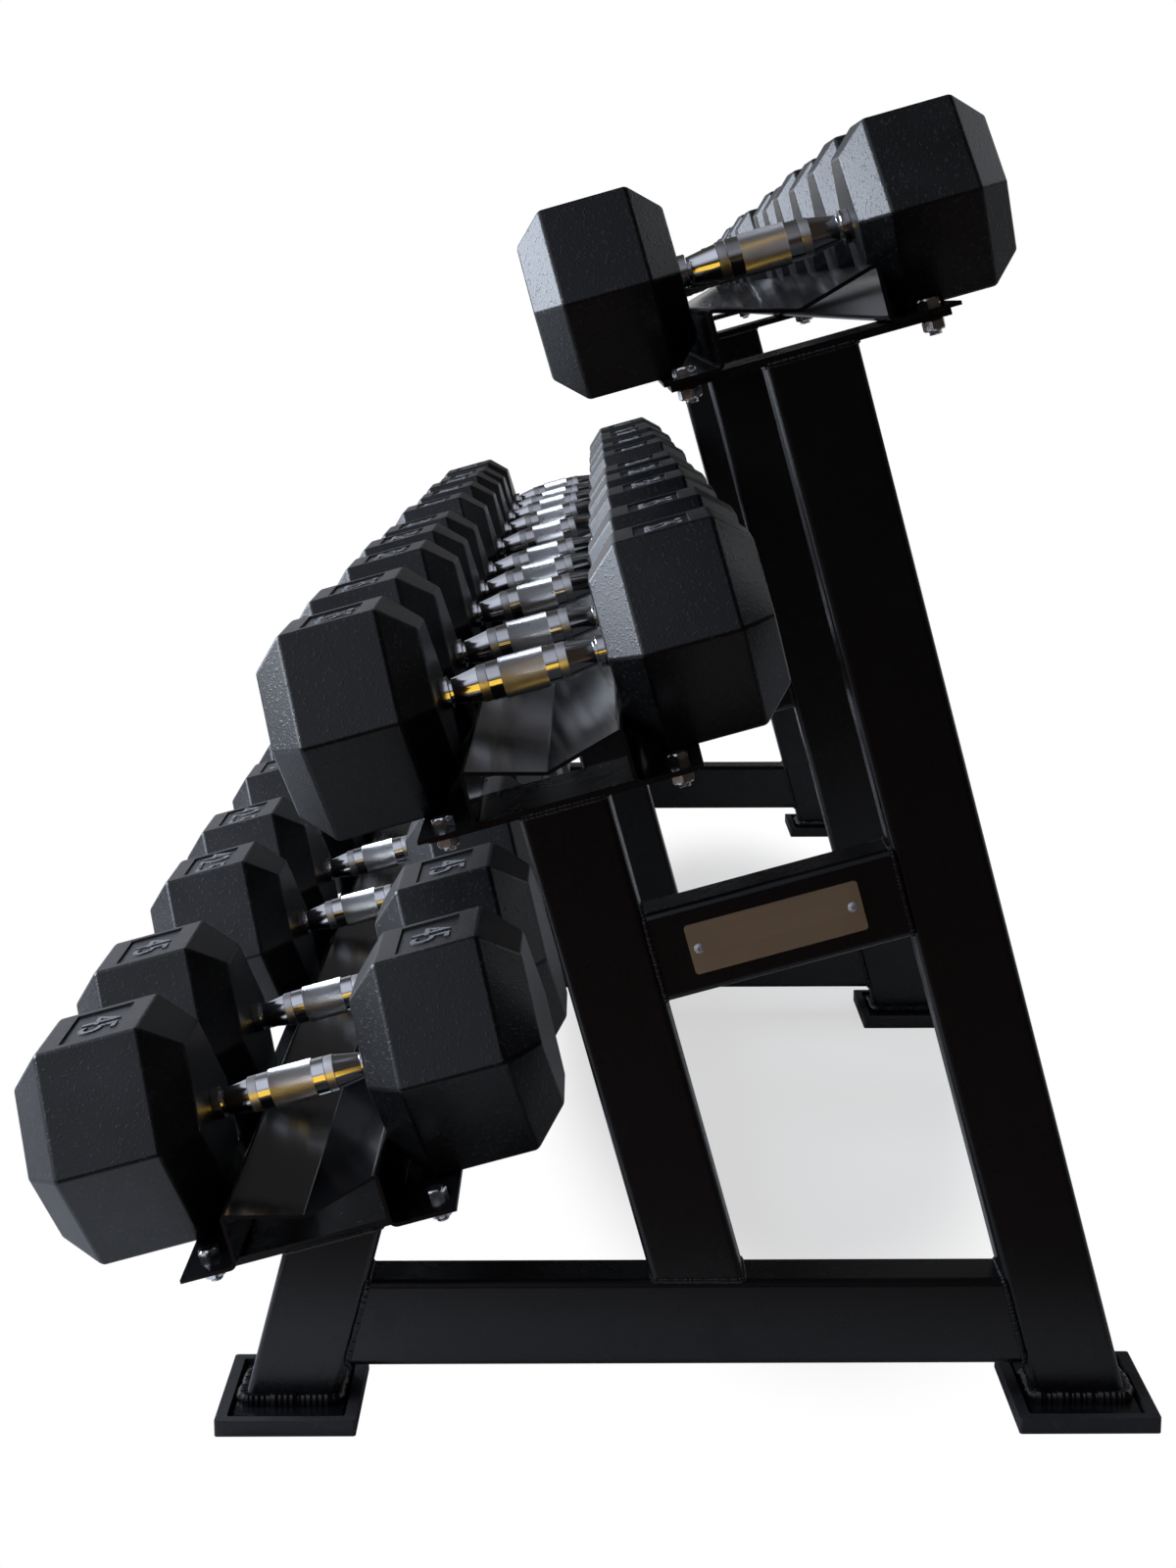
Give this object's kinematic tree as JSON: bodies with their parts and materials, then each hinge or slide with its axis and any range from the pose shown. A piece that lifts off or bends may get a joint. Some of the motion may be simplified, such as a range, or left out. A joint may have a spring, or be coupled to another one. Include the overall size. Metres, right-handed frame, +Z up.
{
  "type": "dumbbell rack",
  "caption": "Three-tier sloping dumbbell rack of leaning tube frames and folded trays, loaded with hexagonal rubber dumbbells that lift off.",
  "frame": {"origin": "on the floor, at the middle of the footprint of the loaded rack", "axes": "+X along the rack's length to the end with the badge, -Y to the front where a person stands, +Z up"},
  "size_m": [2.368, 0.8968, 1.0066],
  "materials": {
    "powder_coat": "satin black powder coat with a fine grain",
    "foot_rubber": "matte black moulded rubber",
    "zinc_fasteners": "bright zinc plate",
    "badge_metal": "brushed, bare",
    "rubber_skinned_iron": "satin black rubber skin over cast iron heads, chromed steel handle"
  },
  "bodies": {
    "rack": {"right_base_tube": "powder_coat", "right_front_post": "powder_coat", "right_middle_upright": "powder_coat", "right_rear_post": "powder_coat", "right_strut": "powder_coat", "centre_base_tube": "powder_coat", "centre_front_post": "powder_coat", "centre_middle_upright": "powder_coat", "centre_rear_post": "powder_coat", "centre_strut": "powder_coat", "left_base_tube": "powder_coat", "left_front_post": "powder_coat", "left_middle_upright": "powder_coat", "left_rear_post": "powder_coat", "left_strut": "powder_coat", "foot_plates": "powder_coat", "rubber_feet": "foot_rubber", "bottom_saddle_plates": "powder_coat", "middle_saddle_plates": "powder_coat", "top_saddle_plates": "powder_coat", "bottom_tray_right": "powder_coat", "bottom_tray_left": "powder_coat", "middle_tray_right": "powder_coat", "middle_tray_left": "powder_coat", "top_tray_right": "powder_coat", "top_tray_left": "powder_coat", "tray_bolts": "zinc_fasteners", "tray_nuts": "zinc_fasteners", "badge_plate": "badge_metal", "badge_screws": "zinc_fasteners"},
    "dumbbell_45_0_kg_right": {"dumbbell_45_0_kg_right": "rubber_skinned_iron"},
    "dumbbell_45_0_kg_left": {"dumbbell_45_0_kg_left": "rubber_skinned_iron"},
    "dumbbell_42_5_kg_right": {"dumbbell_42_5_kg_right": "rubber_skinned_iron"},
    "dumbbell_42_5_kg_left": {"dumbbell_42_5_kg_left": "rubber_skinned_iron"},
    "dumbbell_40_0_kg_right": {"dumbbell_40_0_kg_right": "rubber_skinned_iron"},
    "dumbbell_40_0_kg_left": {"dumbbell_40_0_kg_left": "rubber_skinned_iron"},
    "dumbbell_37_5_kg_right": {"dumbbell_37_5_kg_right": "rubber_skinned_iron"},
    "dumbbell_37_5_kg_left": {"dumbbell_37_5_kg_left": "rubber_skinned_iron"},
    "dumbbell_35_0_kg_right": {"dumbbell_35_0_kg_right": "rubber_skinned_iron"},
    "dumbbell_35_0_kg_left": {"dumbbell_35_0_kg_left": "rubber_skinned_iron"},
    "dumbbell_32_5_kg_right": {"dumbbell_32_5_kg_right": "rubber_skinned_iron"},
    "dumbbell_32_5_kg_left": {"dumbbell_32_5_kg_left": "rubber_skinned_iron"},
    "dumbbell_30_0_kg_right": {"dumbbell_30_0_kg_right": "rubber_skinned_iron"},
    "dumbbell_30_0_kg_left": {"dumbbell_30_0_kg_left": "rubber_skinned_iron"},
    "dumbbell_27_5_kg_right": {"dumbbell_27_5_kg_right": "rubber_skinned_iron"},
    "dumbbell_27_5_kg_left": {"dumbbell_27_5_kg_left": "rubber_skinned_iron"},
    "dumbbell_25_0_kg_right": {"dumbbell_25_0_kg_right": "rubber_skinned_iron"},
    "dumbbell_25_0_kg_left": {"dumbbell_25_0_kg_left": "rubber_skinned_iron"},
    "dumbbell_22_5_kg_right": {"dumbbell_22_5_kg_right": "rubber_skinned_iron"},
    "dumbbell_22_5_kg_left": {"dumbbell_22_5_kg_left": "rubber_skinned_iron"},
    "dumbbell_20_0_kg_right": {"dumbbell_20_0_kg_right": "rubber_skinned_iron"},
    "dumbbell_20_0_kg_left": {"dumbbell_20_0_kg_left": "rubber_skinned_iron"},
    "dumbbell_17_5_kg_right": {"dumbbell_17_5_kg_right": "rubber_skinned_iron"},
    "dumbbell_17_5_kg_left": {"dumbbell_17_5_kg_left": "rubber_skinned_iron"},
    "dumbbell_15_0_kg_right": {"dumbbell_15_0_kg_right": "rubber_skinned_iron"},
    "dumbbell_15_0_kg_left": {"dumbbell_15_0_kg_left": "rubber_skinned_iron"},
    "dumbbell_12_5_kg_right": {"dumbbell_12_5_kg_right": "rubber_skinned_iron"},
    "dumbbell_12_5_kg_left": {"dumbbell_12_5_kg_left": "rubber_skinned_iron"},
    "dumbbell_10_0_kg_right": {"dumbbell_10_0_kg_right": "rubber_skinned_iron"},
    "dumbbell_10_0_kg_left": {"dumbbell_10_0_kg_left": "rubber_skinned_iron"}
  },
  "joints": [
    {"name": "dumbbell_45_0_kg_right_lift", "type": "slide", "parent": "rack", "child": "dumbbell_45_0_kg_right", "axis": [0, -0.2639, 0.9646], "range_m": [0, 0.07]},
    {"name": "dumbbell_45_0_kg_left_lift", "type": "slide", "parent": "rack", "child": "dumbbell_45_0_kg_left", "axis": [0, -0.2639, 0.9646], "range_m": [0, 0.07]},
    {"name": "dumbbell_42_5_kg_right_lift", "type": "slide", "parent": "rack", "child": "dumbbell_42_5_kg_right", "axis": [0, -0.2639, 0.9646], "range_m": [0, 0.07]},
    {"name": "dumbbell_42_5_kg_left_lift", "type": "slide", "parent": "rack", "child": "dumbbell_42_5_kg_left", "axis": [0, -0.2639, 0.9646], "range_m": [0, 0.07]},
    {"name": "dumbbell_40_0_kg_right_lift", "type": "slide", "parent": "rack", "child": "dumbbell_40_0_kg_right", "axis": [0, -0.2639, 0.9646], "range_m": [0, 0.07]},
    {"name": "dumbbell_40_0_kg_left_lift", "type": "slide", "parent": "rack", "child": "dumbbell_40_0_kg_left", "axis": [0, -0.2639, 0.9646], "range_m": [0, 0.07]},
    {"name": "dumbbell_37_5_kg_right_lift", "type": "slide", "parent": "rack", "child": "dumbbell_37_5_kg_right", "axis": [0, -0.2639, 0.9646], "range_m": [0, 0.07]},
    {"name": "dumbbell_37_5_kg_left_lift", "type": "slide", "parent": "rack", "child": "dumbbell_37_5_kg_left", "axis": [0, -0.2639, 0.9646], "range_m": [0, 0.07]},
    {"name": "dumbbell_35_0_kg_right_lift", "type": "slide", "parent": "rack", "child": "dumbbell_35_0_kg_right", "axis": [0, -0.2639, 0.9646], "range_m": [0, 0.08]},
    {"name": "dumbbell_35_0_kg_left_lift", "type": "slide", "parent": "rack", "child": "dumbbell_35_0_kg_left", "axis": [0, -0.2639, 0.9646], "range_m": [0, 0.08]},
    {"name": "dumbbell_32_5_kg_right_lift", "type": "slide", "parent": "rack", "child": "dumbbell_32_5_kg_right", "axis": [0, -0.2639, 0.9646], "range_m": [0, 0.08]},
    {"name": "dumbbell_32_5_kg_left_lift", "type": "slide", "parent": "rack", "child": "dumbbell_32_5_kg_left", "axis": [0, -0.2639, 0.9646], "range_m": [0, 0.08]},
    {"name": "dumbbell_30_0_kg_right_lift", "type": "slide", "parent": "rack", "child": "dumbbell_30_0_kg_right", "axis": [0, -0.2639, 0.9646], "range_m": [0, 0.08]},
    {"name": "dumbbell_30_0_kg_left_lift", "type": "slide", "parent": "rack", "child": "dumbbell_30_0_kg_left", "axis": [0, -0.2639, 0.9646], "range_m": [0, 0.08]},
    {"name": "dumbbell_27_5_kg_right_lift", "type": "slide", "parent": "rack", "child": "dumbbell_27_5_kg_right", "axis": [0, -0.2639, 0.9646], "range_m": [0, 0.08]},
    {"name": "dumbbell_27_5_kg_left_lift", "type": "slide", "parent": "rack", "child": "dumbbell_27_5_kg_left", "axis": [0, -0.2639, 0.9646], "range_m": [0, 0.08]},
    {"name": "dumbbell_25_0_kg_right_lift", "type": "slide", "parent": "rack", "child": "dumbbell_25_0_kg_right", "axis": [0, -0.2639, 0.9646], "range_m": [0, 0.08]},
    {"name": "dumbbell_25_0_kg_left_lift", "type": "slide", "parent": "rack", "child": "dumbbell_25_0_kg_left", "axis": [0, -0.2639, 0.9646], "range_m": [0, 0.08]},
    {"name": "dumbbell_22_5_kg_right_lift", "type": "slide", "parent": "rack", "child": "dumbbell_22_5_kg_right", "axis": [0, -0.2639, 0.9646], "range_m": [0, 0.25]},
    {"name": "dumbbell_22_5_kg_left_lift", "type": "slide", "parent": "rack", "child": "dumbbell_22_5_kg_left", "axis": [0, -0.2639, 0.9646], "range_m": [0, 0.25]},
    {"name": "dumbbell_20_0_kg_right_lift", "type": "slide", "parent": "rack", "child": "dumbbell_20_0_kg_right", "axis": [0, -0.2639, 0.9646], "range_m": [0, 0.25]},
    {"name": "dumbbell_20_0_kg_left_lift", "type": "slide", "parent": "rack", "child": "dumbbell_20_0_kg_left", "axis": [0, -0.2639, 0.9646], "range_m": [0, 0.25]},
    {"name": "dumbbell_17_5_kg_right_lift", "type": "slide", "parent": "rack", "child": "dumbbell_17_5_kg_right", "axis": [0, -0.2639, 0.9646], "range_m": [0, 0.25]},
    {"name": "dumbbell_17_5_kg_left_lift", "type": "slide", "parent": "rack", "child": "dumbbell_17_5_kg_left", "axis": [0, -0.2639, 0.9646], "range_m": [0, 0.25]},
    {"name": "dumbbell_15_0_kg_right_lift", "type": "slide", "parent": "rack", "child": "dumbbell_15_0_kg_right", "axis": [0, -0.2639, 0.9646], "range_m": [0, 0.25]},
    {"name": "dumbbell_15_0_kg_left_lift", "type": "slide", "parent": "rack", "child": "dumbbell_15_0_kg_left", "axis": [0, -0.2639, 0.9646], "range_m": [0, 0.25]},
    {"name": "dumbbell_12_5_kg_right_lift", "type": "slide", "parent": "rack", "child": "dumbbell_12_5_kg_right", "axis": [0, -0.2639, 0.9646], "range_m": [0, 0.25]},
    {"name": "dumbbell_12_5_kg_left_lift", "type": "slide", "parent": "rack", "child": "dumbbell_12_5_kg_left", "axis": [0, -0.2639, 0.9646], "range_m": [0, 0.25]},
    {"name": "dumbbell_10_0_kg_right_lift", "type": "slide", "parent": "rack", "child": "dumbbell_10_0_kg_right", "axis": [0, -0.2639, 0.9646], "range_m": [0, 0.25]},
    {"name": "dumbbell_10_0_kg_left_lift", "type": "slide", "parent": "rack", "child": "dumbbell_10_0_kg_left", "axis": [0, -0.2639, 0.9646], "range_m": [0, 0.25]}
  ]
}
